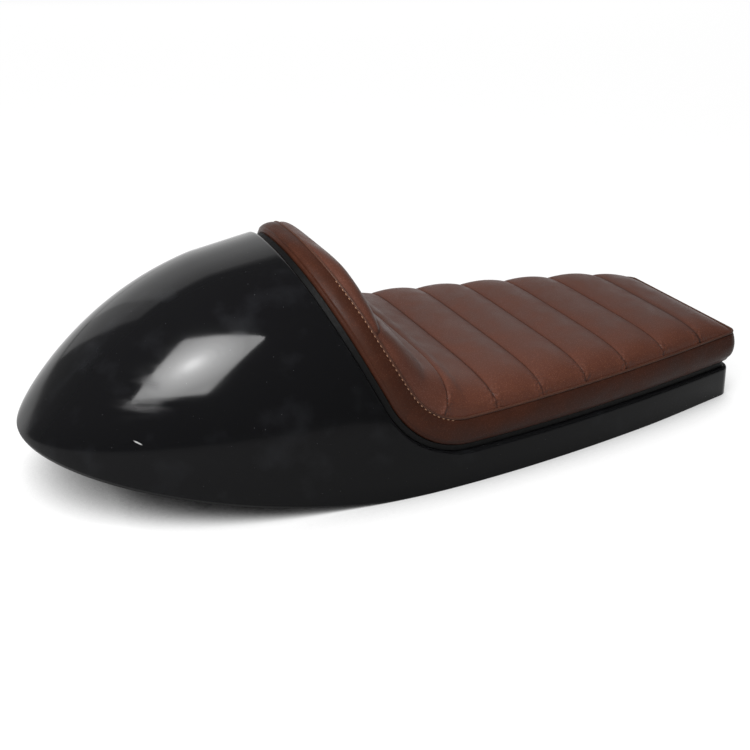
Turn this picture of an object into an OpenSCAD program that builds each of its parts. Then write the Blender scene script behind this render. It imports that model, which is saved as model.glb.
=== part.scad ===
// Single seat with a rounded tail hump, for a motorcycle.
// A moulded shell carries a padded seat that follows its deck and climbs the front of the hump.
// The seat's front points along +X, the base plane is z = 0 and the object is symmetric about y = 0.
// Distances named "from the tail" are measured along X from the tail tip.

/* [Shell outline] */
// Length of the shell from the tail tip to its front face
shell_length = 604; // [576:1:636]
// Width of the shell at its widest place
shell_width = 280; // [250:1:310]
// Width of the shell at its front face, before the corners are rounded
front_width = 169; // [150:1:190]
// Distance of the widest place from the tail
widest_at = 273; // [255:1:290]
// Radius of the two front corners, seen from above
corner_radius = 10; // [7:1:16]
// Height of the hump's crown line above the base
hump_height = 173; // [160:1:190]
// Distance from the tail at which the crown line runs level
crown_at = 289; // [275:1:305]
// Height of the tail tip above the base
tail_lift = 46; // [30:1:60]
// Distance from the tail at which the lower edge meets the base plane
kick_at = 263; // [230:1:290]
// Distance by which each side tucks in from the lip to the base at the front
front_tuck = 2.5; // [0:0.5:6]
// Distance by which the front face leans forward from the lip to the base
front_lean = 3; // [0:0.5:5]
// Distance from the front over which tuck and lean fade out
tuck_length = 110; // [80:5:160]

/* [Shell wall and deck] */
// Thickness of the moulded wall
shell_wall = 3; // [2:0.25:4]
// Height of the flat deck above the base
deck_height = 28; // [24:0.5:34]
// Distance from the tail at which the flat deck ends and bends upward
bend_at = 316.5; // [300:0.5:330]
// Radius of that bend
bend_radius = 75; // [65:1:85]
// Angle of the bulkhead, the deck's upright part, above the level
bulkhead_angle = 65; // [60:0.5:70]
// Radius of the lip between the outer skin and the deck
lip_radius = 3; // [2:0.25:4]

/* [Pad] */
// Thickness of the stiff pan under the pad
pan_thickness = 4.5; // [3:0.25:6]
// Distance of the pan's edge in from the shell's lip
pan_inset = 4; // [3:0.5:6]
// Height of the side seam above the deck at the rear of the flat seat
seam_height = 26.5; // [22:0.5:32]
// Height of the side seam above the deck at the front
front_seam_height = 30; // [26:0.5:36]
// Height of the side seam above the bulkhead
back_seam_height = 21.5; // [17:0.5:26]
// Height of the seam above the bulkhead at the top end
top_seam_height = 19.5; // [15:0.5:24]
// Rise of the upholstery from the side seam to the middle, at the rear of the flat seat
crown_rise = 17; // [12:0.5:20]
// The same rise at the front
front_crown_rise = 11; // [6:0.5:14]
// The same rise on the bulkhead
back_crown_rise = 12; // [8:0.5:16]
// Extra height of the padding that fills the bend
bend_fill = 8; // [0:0.5:12]
// Length along the deck of that filling, to each side of its highest place
bend_fill_length = 55; // [40:1:70]
// Length of the rounding at the pad's top end
top_roll = 28; // [15:1:45]
// Length of the rounding at the pad's front end
front_roll = 45; // [25:1:60]
// Reach of the front seam past the shell's front face
front_overhang = 5; // [3:0.5:9]
// Reach of the band's lower edge past the shell's front face
front_foot_reach = 1.5; // [0:0.5:3]
// Distance by which the seam at the top end stays short of the hump's rim
top_setback = 3; // [0:0.5:8]
// Distance of the side seam in from the lip, beside the flat seat
side_inset = 3.5; // [2:0.5:6]
// Outward swell of the side band between its two edges
band_swell = 1.5; // [0.5:0.25:3]
// Reach of the swollen front end past the shell's front face
front_reach = 7; // [6:0.5:10]
// Distance of the band's lower edge in from the lip
foot_inset = 1.5; // [1:0.25:3]
// Thickness of the leather
leather = 2; // [1.5:0.25:2.5]
// Width of the hem that is folded in between pan and foam
hem_width = 14; // [8:1:20]

/* [Channels] */
// Number of full channels on the flat seat, all equally wide
channel_count = 5; // [3:1:6]
// Distance of the first of their seams from the bend
first_seam = 25; // [15:1:30]
// Length of the plain panel between the last of their seams and the shell's front face
front_panel = 42.5; // [30:0.5:50]
// Distance of the seam in the bend behind the bend's end, along the deck
bend_seam = 36; // [28:1:44]
// Distance of the seam on the bulkhead behind the bend's end, along the deck
back_seam = 133; // [115:1:140]
// Height of each puff above its seams
puff_height = 4.5; // [2:0.5:7]

/* [Fixings] */
// Nominal diameter of the studs that hold the pad down
stud_d = 6; // [5:1:8]
// Pitch diameter of their thread, which shows below the nuts
thread_d = 5.35; // [4.4:0.05:7.2]
// Chamfer at the end of the thread
thread_chamfer = 0.8; // [0.4:0.1:1.2]
// Length of a stud below the pan
stud_length = 22; // [18:0.5:24]
// Distance of the front pair from the shell's front face
stud_end = 67.5; // [50:0.5:90]
// Distance between the left and the right studs
stud_spacing_y = 90; // [70:1:100]
// Distance of the rear pair from the end of the bend
stud_start = 60; // [50:1:80]
// Diameter of each stud's head plate, which is let into the pan
stud_plate_d = 24; // [18:1:30]
// Thickness of the head plate
stud_plate_t = 2; // [1.5:0.25:2.5]
// Diameter of the clearance holes for the studs
stud_hole_d = 6.6; // [6.2:0.1:9]
// Outer diameter of the washers
washer_d = 18; // [14:1:24]
// Thickness of the washers
washer_t = 1.6; // [1:0.2:2.5]
// Width of the nuts across their flats
nut_width = 10; // [9:0.5:13]
// Height of the nuts
nut_height = 6; // [5:0.5:8]

/* [Hidden] */

// Gap between pieces that lie against each other
fit_gap = 0.3;

// Distance by which a cutting cylinder runs past each face
cut_margin = 1;

// Exponents of the outline, the crown line, the cross-section, the side taper and the tail kick
plan_p = 2.44;
plan_q = 2.08;
crown_p = 2.94;
crown_q = 1.04;
section_n = 2.27;
taper_n = 1.57;
kick_n = 1.5;

// Exponents of the side seam's curve near the top end and of the rounding at the front seam
top_reach_n = 2.5;
front_roll_n = 1.5;

// Exponents of the puffs along the pad and across it
puff_n = 0.8;
puff_edge_n = 14;

// Exponents of the upholstery's rounding from side to side
crown_edge_p = 5;
crown_edge_q = 0.42;

// Length of the pad's sides that is drawn forward before the front corners
drawn_length = 40;

// Share of the band's height at which its front end reaches out the most
swell_level = 2 / 3;

// Steps of the meshes; the outer skin ends just short of the rim, at skin_steps of skin_end
rear_steps = 22;
side_steps = 12;
corner_steps = 5;
skin_steps = 11;
skin_end = 11.25;
across_steps = 12;
channel_steps = 6;
back_steps = 12;
panel_steps = 4;
search_steps = 40;

// Facets of the studs, the nuts' bores and the holes, and of the larger discs
stud_facets = 48;
disc_facets = 64;

// Least size that counts in comparisons
tiny = 0.001;

overall_length = shell_length + front_reach;
corner_start = shell_length - corner_radius;
deck_arc = bend_radius * bulkhead_angle * PI / 180;
slope_start_d = bend_at - bend_radius * sin(bulkhead_angle);
channel_pitch = (shell_length - bend_at - first_seam - front_panel) / channel_count;
stud_spacing_x = shell_length - bend_at - stud_start - stud_end;

function unit(v) = v / norm(v);
function mix(a, b, t) = a + (b - a) * t;
function limit(t) = max(0, min(1, t));
function ease(t) = let (c = limit(t)) c * c * (3 - 2 * c);
function mirrored(p) = [p[0], -p[1], p[2]];

// Half width of the outline at distance d, for a skin moved in by off
function plan_half(d, off = 0) =
    let (half = shell_width / 2 - off,
         corner = corner_radius - off,
         past = d - (shell_length - off - corner))
    d < widest_at
        ? half * pow(max(0, 1 - pow((widest_at - d) / (widest_at - off), plan_p)), 1 / plan_q)
        : half - (shell_width - front_width) / 2 * pow((d - widest_at) / (shell_length - widest_at), taper_n)
            - (past > 0 ? corner - sqrt(max(0, corner * corner - past * past)) : 0);

// Height of the lower edge
function base_z(d) = tail_lift * pow(max(0, (kick_at - d) / kick_at), kick_n);

// Height of the crown line
function crown_z(d, off = 0) =
    let (t = limit((crown_at - d) / (crown_at - off)))
    tail_lift + (hump_height - off - tail_lift) * pow(1 - pow(t, crown_p), 1 / crown_q);

// Height of the outer or inner skin at a point of the plan
function skin_z(d, y, off = 0) =
    let (base = base_z(d),
         share = min(1, abs(y) / max(tiny, plan_half(d, off))))
    base + (crown_z(d, off) - base) * pow(max(0, 1 - pow(share, section_n)), 1 / section_n);

// Height of the deck: level, then an arc, then the straight bulkhead; off moves it inward
function deck_z(d, off = 0) =
    let (radius = bend_radius + off,
         back = bend_at - d,
         reach = radius * sin(bulkhead_angle))
    back <= 0 ? deck_height - off
    : back < reach ? deck_height + bend_radius - sqrt(radius * radius - back * back)
    : deck_height + bend_radius - radius * cos(bulkhead_angle) + (back - reach) * tan(bulkhead_angle);

// Distance at which the deck's upright part meets the crown line
function top_d(off, low, high, n) =
    let (middle = (low + high) / 2)
    n == 0 ? middle
    : deck_z(middle, off) > crown_z(middle, off) ? top_d(off, middle, high, n - 1)
    : top_d(off, low, middle, n - 1);

// The search starts well behind the bulkhead
lowest_top_d = 0.3 * bend_at;
rim_top_d = top_d(0, lowest_top_d, slope_start_d, search_steps);
inner_top_d = top_d(shell_wall, lowest_top_d, slope_start_d, search_steps);

// Half width of the deck where it meets the skin
function rim_half(d, off = 0) =
    let (base = base_z(d),
         share = limit((deck_z(d, off) - base) / (crown_z(d, off) - base)))
    plan_half(d, off) * pow(max(0, 1 - pow(share, section_n)), 1 / section_n);

// Upward normal of the deck at distance d
function deck_normal(d) =
    let (back = max(0, bend_at - d),
         angle = back < bend_radius * sin(bulkhead_angle) ? asin(back / bend_radius) : bulkhead_angle)
    [sin(angle), 0, cos(angle)];

// Stations from the tail or rim end to the front face, left side
function side_stations(start, off) =
    let (corner = corner_radius - off,
         corner_start = shell_length - off - corner)
    concat([for (i = [0 : rear_steps]) mix(start, bend_at, 1 - cos(90 * i / rear_steps))],
           [for (i = [1 : side_steps]) mix(bend_at, corner_start, i / side_steps)],
           [for (i = [1 : corner_steps]) corner_start + corner * sin(90 * i / corner_steps)]);

// A point of the skin after the sides are tucked in below the deck near the front
function tucked(p) =
    let (share = ease((p[0] - shell_length + tuck_length) / tuck_length) * max(0, 1 - p[2] / deck_height))
    [p[0] + front_lean * share, p[1] * (1 - 2 * front_tuck / front_width * share), p[2]];

// Closed loop from left-side points: centre point, left side, front, right side
function loop_of(left) = concat(left, [for (i = [len(left) - 1 : -1 : 1]) mirrored(left[i])]);

// Inward direction on the deck at each point of a rim loop
function inward(loop) =
    let (n = len(loop))
    [for (i = [0 : n - 1])
        let (along = loop[(i + 1) % n] - loop[(i + n - 1) % n])
        unit(cross(deck_normal(loop[i][0]), -along))];

// A rim loop moved inward on the deck and raised from it
function moved(loop, inset, height) =
    let (direction = inward(loop))
    [for (i = [0 : len(loop) - 1])
        let (step_in = is_list(inset) ? inset[i] : inset,
             rise = is_list(height) ? height[i] : height)
        loop[i] + direction[i] * step_in + deck_normal(loop[i][0]) * rise];

// Faces between two loops of n points that start at a and b
function wall(a, b, n) =
    [for (i = [0 : n - 1], half = [0, 1])
        let (next = (i + 1) % n)
        half == 0 ? [a + i, a + next, b + next] : [a + i, b + next, b + i]];

// Faces that fill a symmetric loop of n points with strips from side to side
function lid(a, n, flip = false) =
    let (rows = (n - 1) / 2,
         faces = concat([[a, a + 1, a + n - 1]],
                        [for (i = [1 : rows - 1], half = [0, 1])
                            half == 0 ? [a + i, a + i + 1, a + n - i]
                                      : [a + i + 1, a + n - i - 1, a + n - i]]))
    flip ? [for (f = faces) [f[2], f[1], f[0]]] : faces;

// Solid between stacked loops; the first and the last are filled
module stacked(loops) {
    n = len(loops[0]);
    last = (len(loops) - 1) * n;
    polyhedron(points = [for (loop = loops) each loop],
               faces = concat(lid(0, n, true),
                              [for (i = [0 : len(loops) - 2]) each wall(i * n, (i + 1) * n, n)],
                              lid(last, n)),
               convexity = 8);
}

// Loops of one skin from the lower edge up to just below the rim
function skin_loops(start, off, levels) =
    let (rims = side_stations(start, off),
         feet = side_stations(off, off))
    [for (level = levels)
        loop_of([for (i = [0 : len(rims) - 1])
            let (t = pow(level, 2),
                 d = mix(feet[i], rims[i], t),
                 y = mix(plan_half(feet[i], off), rim_half(rims[i], off), t))
            tucked([d, y, level == 0 ? base_z(d) : skin_z(d, y, off)])])];

function rim_loop(start, off) =
    loop_of([for (d = side_stations(start, off)) [d, rim_half(d, off), deck_z(d, off)]]);

// Stud centres
stud_places = [for (x = [0, 1], y = [-0.5, 0.5])
    [bend_at + stud_start + x * stud_spacing_x, y * stud_spacing_y]];
module at_studs(z) for (p = stud_places) translate([p[0], p[1], z]) children();

// The whole seat is drawn from the tail tip and then centred on its length
module centred() translate([-overall_length / 2, 0, 0]) children();

// One-piece moulding: hump, side skirts, lip, deck and bulkhead in a wall of even thickness
module cowl_shell() {
    outer = skin_loops(rim_top_d, 0, [for (i = [0 : skin_steps]) i / skin_end]);
    rim = rim_loop(rim_top_d, 0);
    top_skin = outer[skin_steps];
    n = len(rim);
    lip_low = [for (i = [0 : n - 1]) rim[i] + unit(top_skin[i] - rim[i]) * lip_radius];
    lip_high = moved(rim, lip_radius, 0);
    lip_mid = [for (i = [0 : n - 1]) (lip_low[i] + lip_high[i] + rim[i] * 2) / 4];
    outside = concat([for (i = [0 : skin_steps - 1]) outer[i]], [lip_low, lip_mid, lip_high]);
    inside = concat(
        skin_loops(inner_top_d, shell_wall, [for (i = [0 : skin_steps - 2]) i / (skin_steps - 1)]),
        [rim_loop(inner_top_d, shell_wall)]);
    loops = concat([for (i = [len(inside) - 1 : -1 : 0]) inside[i]], outside);
    color("#17181a") centred() difference() {
        stacked(loops);
        at_studs(deck_height - shell_wall - cut_margin)
            cylinder(h = shell_wall + 2 * cut_margin, d = stud_hole_d, $fn = stud_facets);
    }
}

// Distance along X of a point on the deck, from its distance s along the deck past the bend's end
function path_d(s) =
    s >= 0 ? bend_at + s
    : -s < deck_arc ? bend_at - bend_radius * sin(-s / bend_radius * 180 / PI)
    : slope_start_d - (-s - deck_arc) * cos(bulkhead_angle);

// Slope of the shell's sides in front, seen from above
side_slope = plan_half(corner_start - 1) - plan_half(corner_start);

// Ends of the pad, and its seams, along the deck
path_top = -deck_arc - (slope_start_d - rim_top_d) / cos(bulkhead_angle);
path_front = shell_length - bend_at;
corner_path = path_front - corner_radius;
seams = concat([-back_seam, -bend_seam], [for (i = [0 : channel_count]) first_seam + i * channel_pitch]);

// Stations along the pad, closer together at its top end and its corners
pad_stations = concat(
    [for (i = [0 : back_steps - 1]) mix(path_top, seams[0], 1 - cos(90 * i / back_steps))],
    [for (i = [0 : 2 * channel_steps - 1]) mix(seams[0], seams[1], i / (2 * channel_steps))],
    [for (k = [1 : len(seams) - 2], i = [0 : channel_steps - 1])
        mix(seams[k], seams[k + 1], i / channel_steps)],
    [for (i = [0 : panel_steps - 1]) mix(seams[len(seams) - 1], corner_path, i / panel_steps)],
    [for (i = [0 : corner_steps]) corner_path + corner_radius * sin(90 * i / corner_steps)]);

// Height of the side seam above the deck
function seam_rise(s) =
    s > 0 ? mix(seam_height, front_seam_height, s / path_front)
    : mix(mix(seam_height, back_seam_height, ease(-s / back_seam)), top_seam_height,
          pow(limit((-s - back_seam) / (-path_top - back_seam)), 2));

// Share of the pad's reach past the front face, which is drawn out of its sides before the corners
function front_share(s) = ease((s - corner_path) / drawn_length + 1);

// How far the seam stands in from the rim, and the band's swell
function seam_inset(s) = mix(side_inset, top_setback, pow(limit(s / path_top), top_reach_n));
front_swell = (front_reach - mix(front_foot_reach, front_overhang, swell_level)) / sin(180 * swell_level);
function swell(s) = mix(band_swell, front_swell, front_share(s));

// Fall of the upholstery towards the front seam
function front_fall(s) = 1 - pow(1 - limit((path_front - s) / front_roll), front_roll_n);

// Rise of the smooth upholstery above the seam, and of the puffs above that
function smooth_rise(s, v) =
    let (middle = s > 0 ? mix(crown_rise, front_crown_rise, s / path_front)
                  : mix(crown_rise, back_crown_rise, ease(-s / back_seam)),
         filling = bend_fill * (1 - ease(abs(s + bend_seam) / bend_fill_length)))
    (middle + filling) * pow(max(0, 1 - pow(abs(v), crown_edge_p)), crown_edge_q)
    * (1 - pow(1 - limit((s - path_top) / top_roll), 2)) * front_fall(s);
function puff_rise(s, v) =
    let (marks = concat([path_top], seams, [path_front]),
         k = [for (i = [0 : len(marks) - 2]) if (s >= marks[i] - tiny && s <= marks[i + 1] + tiny) i][0],
         t = limit((s - marks[k]) / (marks[k + 1] - marks[k])))
    puff_height * pow(sin(180 * t), puff_n) * (1 - pow(abs(v), puff_edge_n)) * front_fall(s);

pad_rim = loop_of([for (s = pad_stations) let (d = path_d(s)) [d, rim_half(d), deck_z(d)]]);
pad_last = len(pad_stations) - 1;
function station(i) = pad_stations[i <= pad_last ? i : 2 * pad_last + 1 - i];
pad_count = len(pad_rim);
seam_insets = [for (i = [0 : pad_count - 1]) seam_inset(station(i))];
seam_rises = [for (i = [0 : pad_count - 1]) seam_rise(station(i))];

// Edge loop of the pad at share t of its height, moved in by inset and lowered by drop
hem_level = pan_thickness + fit_gap;
function edge_loop(t, inset, drop = 0) =
    let (loop = moved(pad_rim,
             [for (i = [0 : pad_count - 1])
                 inset + mix(foot_inset, seam_insets[i], t) - swell(station(i)) * sin(180 * t)],
             [for (i = [0 : pad_count - 1]) mix(hem_level, seam_rises[i], t) - drop]),
         advance = mix(front_foot_reach + foot_inset, front_overhang + side_inset, t))
    [for (i = [0 : pad_count - 1])
        loop[i] + advance * front_share(station(i)) * [1, -side_slope * sign(loop[i][1]), 0]];

// A sheet over the pad: one point at the top end, then rows from the left to the right edge
function sheet(inset, drop, puffed) =
    let (edge = edge_loop(1, inset, drop))
    concat([edge[0]],
           [for (i = [1 : pad_last], j = [0 : across_steps])
               let (v = -sin(90 * (1 - 2 * j / across_steps)),
                    s = station(i),
                    left = edge[i],
                    normal = deck_normal(pad_rim[i][0]))
               [left[0], -left[1] * v, left[2]]
               + normal * (smooth_rise(s, v) + (puffed ? puff_rise(s, v) : 0))]);

row = across_steps + 1;
function at_row(i, j) = i == 0 ? 0 : 1 + (i - 1) * row + j;
sheet_size = 1 + pad_last * row;
function sheet_faces(a, flip) =
    let (faces = concat([for (j = [0 : across_steps - 1]) [a, a + at_row(1, j), a + at_row(1, j + 1)]],
                        [for (i = [1 : pad_last - 1], j = [0 : across_steps - 1], half = [0, 1])
                            half == 0 ? [a + at_row(i, j), a + at_row(i + 1, j), a + at_row(i + 1, j + 1)]
                                      : [a + at_row(i, j), a + at_row(i + 1, j + 1), a + at_row(i, j + 1)]]))
    flip ? [for (f = faces) [f[2], f[1], f[0]]] : faces;
sheet_edge = concat([0], [for (i = [1 : pad_last]) at_row(i, 0)],
                    [for (j = [1 : across_steps - 1]) at_row(pad_last, j)],
                    [for (i = [pad_last : -1 : 1]) at_row(i, across_steps)]);

// Solid between a lower and an upper sheet
module padded(low, high) {
    n = len(sheet_edge);
    polyhedron(points = concat(low, high),
               faces = concat(sheet_faces(0, true), sheet_faces(sheet_size, false),
                   [for (i = [0 : n - 1], half = [0, 1])
                       let (p = sheet_edge[i], q = sheet_edge[(i + 1) % n])
                       half == 0 ? [p, q, p + sheet_size] : [q, q + sheet_size, p + sheet_size]]),
               convexity = 8);
}

// Stiff pan that follows the deck; the studs' plates are let into its upper face
module seat_pan() {
    color("#1d1d1f") centred() difference() {
        stacked([moved(pad_rim, pan_inset, fit_gap), moved(pad_rim, pan_inset, pan_thickness)]);
        at_studs(deck_height) cylinder(h = pan_thickness + cut_margin, d = stud_hole_d, $fn = stud_facets);
        at_studs(deck_height + pan_thickness - stud_plate_t - fit_gap)
            cylinder(h = stud_plate_t + cut_margin, d = stud_plate_d + 2 * fit_gap, $fn = disc_facets);
    }
}

// Top panel of the cover: leather sewn into channels over its own thin padding
module cover_top() {
    color("#5a3325") centred() padded(sheet(0, leather, false), sheet(0, 0, true));
}

// A flat sheet over the pan, with the same rows as the upholstery
function floor_sheet(inset, rise) =
    let (edge = edge_loop(0, inset, -rise))
    concat([edge[0]],
           [for (i = [1 : pad_last], j = [0 : across_steps])
               [edge[i][0], edge[i][1] * sin(90 * (1 - 2 * j / across_steps)), edge[i][2]]]);

// Foam block between the hem and the cover
module foam_core() {
    gap = leather + fit_gap;
    color("#d8c9a0") centred() padded(floor_sheet(gap, gap), sheet(gap, gap, false));
}

// Side band: one strip round the pad, with its lower hem folded in over the pan
module cover_band() {
    n = pad_count;
    top_drop = leather + fit_gap;
    levels = [0, swell_level / 2, swell_level, 1];
    loops = concat([for (t = levels) edge_loop(t, 0, t * top_drop)],
                   [edge_loop(1, leather, top_drop), edge_loop(0, leather, -leather),
                    edge_loop(0, hem_width, -leather), edge_loop(0, hem_width, 0)]);
    color("#472519") centred()
        polyhedron(points = [for (loop = loops) each loop],
                   faces = [for (i = [0 : len(loops) - 1]) each wall(i * n, ((i + 1) % len(loops)) * n, n)],
                   convexity = 8);
}

// Heights of the studs' plates, the washers and the nuts
plate_z = deck_height + pan_thickness - stud_plate_t - fit_gap / 2;
washer_z = deck_height - shell_wall - washer_t;
nut_z = washer_z - nut_height;
thread_end_z = plate_z - stud_length;

// Studs with round head plates; the thread shows below the nuts and ends in a chamfer
module pan_studs() {
    color("#a8a9a6") centred() {
        at_studs(plate_z) cylinder(h = stud_plate_t, d = stud_plate_d, $fn = disc_facets);
        at_studs(nut_z) cylinder(h = plate_z + stud_plate_t / 2 - nut_z, d = stud_d, $fn = stud_facets);
        at_studs(thread_end_z + thread_chamfer)
            cylinder(h = nut_z - thread_end_z, d = thread_d, $fn = stud_facets);
        at_studs(thread_end_z)
            cylinder(h = thread_chamfer, d1 = thread_d - 2 * thread_chamfer, d2 = thread_d,
                     $fn = stud_facets);
    }
}

// Plain washers under the deck
module washers() {
    color("#b9bab6") centred() at_studs(washer_z) difference() {
        cylinder(h = washer_t, d = washer_d, $fn = disc_facets);
        translate([0, 0, -cut_margin])
            cylinder(h = washer_t + 2 * cut_margin, d = stud_hole_d, $fn = stud_facets);
    }
}

// Hexagon nuts; their bore is drawn at the studs' nominal diameter
module lock_nuts() {
    color("#8f918f") centred() at_studs(nut_z) difference() {
        cylinder(h = nut_height, d = nut_width / cos(30), $fn = 6);
        translate([0, 0, -cut_margin])
            cylinder(h = nut_height + 2 * cut_margin, d = stud_d, $fn = stud_facets);
    }
}

cowl_shell();
seat_pan();
foam_core();
cover_top();
cover_band();
pan_studs();
washers();
lock_nuts();
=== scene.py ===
"""Motorcycle seat with a tail hump: gloss black moulded shell and channelled brown leather pad."""
import math
import bpy
import numpy as np
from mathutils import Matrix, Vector, noise

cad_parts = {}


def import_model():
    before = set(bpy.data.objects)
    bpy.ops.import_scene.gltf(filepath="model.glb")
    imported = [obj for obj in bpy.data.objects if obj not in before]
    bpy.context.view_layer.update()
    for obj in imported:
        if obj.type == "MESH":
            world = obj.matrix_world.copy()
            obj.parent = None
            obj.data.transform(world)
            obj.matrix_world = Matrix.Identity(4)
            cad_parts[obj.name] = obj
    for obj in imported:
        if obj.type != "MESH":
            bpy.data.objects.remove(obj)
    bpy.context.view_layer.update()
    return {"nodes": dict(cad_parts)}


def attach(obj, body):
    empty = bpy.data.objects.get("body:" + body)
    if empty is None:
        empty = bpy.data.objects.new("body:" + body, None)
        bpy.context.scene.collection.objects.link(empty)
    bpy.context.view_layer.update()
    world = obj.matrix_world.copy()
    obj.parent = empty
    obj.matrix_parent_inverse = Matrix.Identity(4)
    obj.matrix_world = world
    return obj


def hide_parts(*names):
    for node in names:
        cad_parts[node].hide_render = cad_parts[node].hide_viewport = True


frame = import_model()
MM = 0.001

# Driving dimensions of the object, in millimetres, as in the CAD model
SHELL_LENGTH = 604.0
SHELL_WIDTH = 280.0
FRONT_WIDTH = 169.0
WIDEST_AT = 273.0
CORNER_RADIUS = 10.0
HUMP_HEIGHT = 173.0
CROWN_AT = 289.0
TAIL_LIFT = 46.0
KICK_AT = 263.0
FRONT_TUCK = 2.5
FRONT_LEAN = 3.0
TUCK_LENGTH = 110.0
SHELL_WALL = 3.0
DECK_HEIGHT = 28.0
BEND_AT = 316.5
BEND_RADIUS = 75.0
BULKHEAD = math.radians(65.0)
LIP_RADIUS = 3.0
PAN_THICKNESS = 4.5
SEAM_HEIGHT = 26.5
FRONT_SEAM_HEIGHT = 30.0
BACK_SEAM_HEIGHT = 21.5
TOP_SEAM_HEIGHT = 19.5
CROWN_RISE = 17.0
FRONT_CROWN_RISE = 11.0
BACK_CROWN_RISE = 12.0
BEND_FILL = 8.0
BEND_FILL_LENGTH = 55.0
TOP_ROLL = 28.0
FRONT_ROLL = 45.0
FRONT_OVERHANG = 5.0
FRONT_FOOT_REACH = 1.5
TOP_SETBACK = 3.0
SIDE_INSET = 3.5
BAND_SWELL = 1.5
FRONT_REACH = 7.0
FOOT_INSET = 1.5
DRAWN_LENGTH = 40.0
SWELL_LEVEL = 2 / 3
CHANNEL_COUNT = 5
FIRST_SEAM = 25.0
FRONT_PANEL = 42.5
BEND_SEAM = 36.0
BACK_SEAM = 133.0
PUFF_HEIGHT = 4.5
HEM_THICKNESS = 0.3
HEM_LEVEL = PAN_THICKNESS + HEM_THICKNESS

# Exponents of the outline, crown line, cross-section, front taper and tail kick, then of the pad's
# edge, front roll and top setback
PLAN_P, PLAN_Q = 2.44, 2.08
CROWN_P, CROWN_Q = 2.94, 1.04
SECTION_N = 2.27
TAPER_N = 1.57
KICK_N = 1.5
CROWN_EDGE_P = 5.0
CROWN_EDGE_Q = 0.42
FRONT_ROLL_N = 1.5
SETBACK_N = 2.5

# The cover's swell, in scene.py only: fuller rolls between the seams, and creases along them
PUFF_N = 0.66
PUFF_EDGE_N = 16
BACK_PUFF_HEIGHT = 2.5
BEND_PUFF_HEIGHT = 9.5
CREASE_DEPTH = 0.9
CREASE_WIDTH = 0.7
BEND_CREASE = 2.2
BEND_CREASE_WIDTH = 2.5
BAND_EXTRA = 0.9

OVERALL_LENGTH = SHELL_LENGTH + FRONT_REACH
CHANNEL_PITCH = (SHELL_LENGTH - BEND_AT - FIRST_SEAM - FRONT_PANEL) / CHANNEL_COUNT
CORNER_START = SHELL_LENGTH - CORNER_RADIUS
FRONT_SWELL = ((FRONT_REACH - FRONT_FOOT_REACH - (FRONT_OVERHANG - FRONT_FOOT_REACH) * SWELL_LEVEL)
               / math.sin(math.pi * SWELL_LEVEL))
DECK_ARC = BEND_RADIUS * BULKHEAD
SLOPE_START = BEND_AT - BEND_RADIUS * math.sin(BULKHEAD)

# The photograph's camera, found by fitting it to the outline and the seams
CAMERA_PLACE = (-0.3521, -0.8009, 0.4310)
CAMERA_AZIMUTH = math.radians(-23.05)
CAMERA_ELEVATION = math.radians(24.28)
CAMERA_LENS = 53.68


# Shape of the shell

def ease(t):
    t = np.clip(t, 0.0, 1.0)
    return t * t * (3.0 - 2.0 * t)


def mix(a, b, t):
    return a + (b - a) * t


def plan_half(d, off=0.0):
    """Half width of the outline at distance d from the tail, for a skin moved in by off."""
    half = SHELL_WIDTH / 2 - off
    corner = CORNER_RADIUS - off
    past = np.maximum(0.0, d - (SHELL_LENGTH - off - corner))
    back = np.clip((WIDEST_AT - d) / (WIDEST_AT - off), 0.0, 1.0)
    rear = half * np.power(1 - back ** PLAN_P, 1 / PLAN_Q)
    ahead = np.maximum(0.0, d - WIDEST_AT) / (SHELL_LENGTH - WIDEST_AT)
    front = half - (SHELL_WIDTH - FRONT_WIDTH) / 2 * ahead ** TAPER_N
    front = front - (corner - np.sqrt(np.maximum(0.0, corner * corner - past * past)))
    return np.where(d < WIDEST_AT, rear, front)


def base_z(d):
    return TAIL_LIFT * np.maximum(0.0, (KICK_AT - d) / KICK_AT) ** KICK_N


def crown_z(d, off=0.0):
    t = np.clip((CROWN_AT - d) / (CROWN_AT - off), 0.0, 1.0)
    return TAIL_LIFT + (HUMP_HEIGHT - off - TAIL_LIFT) * (1 - t ** CROWN_P) ** (1 / CROWN_Q)


def skin_z(d, y, off=0.0):
    base = base_z(d)
    share = np.minimum(1.0, np.abs(y) / np.maximum(0.001, plan_half(d, off)))
    return base + (crown_z(d, off) - base) * np.maximum(0.0, 1 - share ** SECTION_N) ** (1 / SECTION_N)


def deck_z(d, off=0.0):
    """Height of the deck: level, then an arc, then the straight bulkhead."""
    radius = BEND_RADIUS + off
    back = np.maximum(0.0, BEND_AT - d)
    reach = radius * math.sin(BULKHEAD)
    fall = np.sqrt(np.maximum(0.0, radius * radius - np.minimum(back, reach) ** 2))
    arc = DECK_HEIGHT + BEND_RADIUS - fall
    return arc + np.maximum(0.0, back - reach) * math.tan(BULKHEAD)


HALVINGS = 40


def meeting(off):
    """Distance from the tail at which the bulkhead meets the crown line."""
    low, high = 0.3 * BEND_AT, SLOPE_START
    for _ in range(HALVINGS):
        middle = (low + high) / 2
        if deck_z(middle, off) > crown_z(middle, off):
            low = middle
        else:
            high = middle
    return (low + high) / 2


def rim_half(d, off=0.0):
    base = base_z(d)
    share = np.clip((deck_z(d, off) - base) / (crown_z(d, off) - base), 0.0, 1.0)
    return plan_half(d, off) * (1 - share ** SECTION_N) ** (1 / SECTION_N)


def deck_normal(d):
    back = np.clip((BEND_AT - d) / BEND_RADIUS, 0.0, math.sin(BULKHEAD))
    angle = np.arcsin(back)
    return np.stack([np.sin(angle), np.zeros_like(angle), np.cos(angle)], -1)


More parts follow.
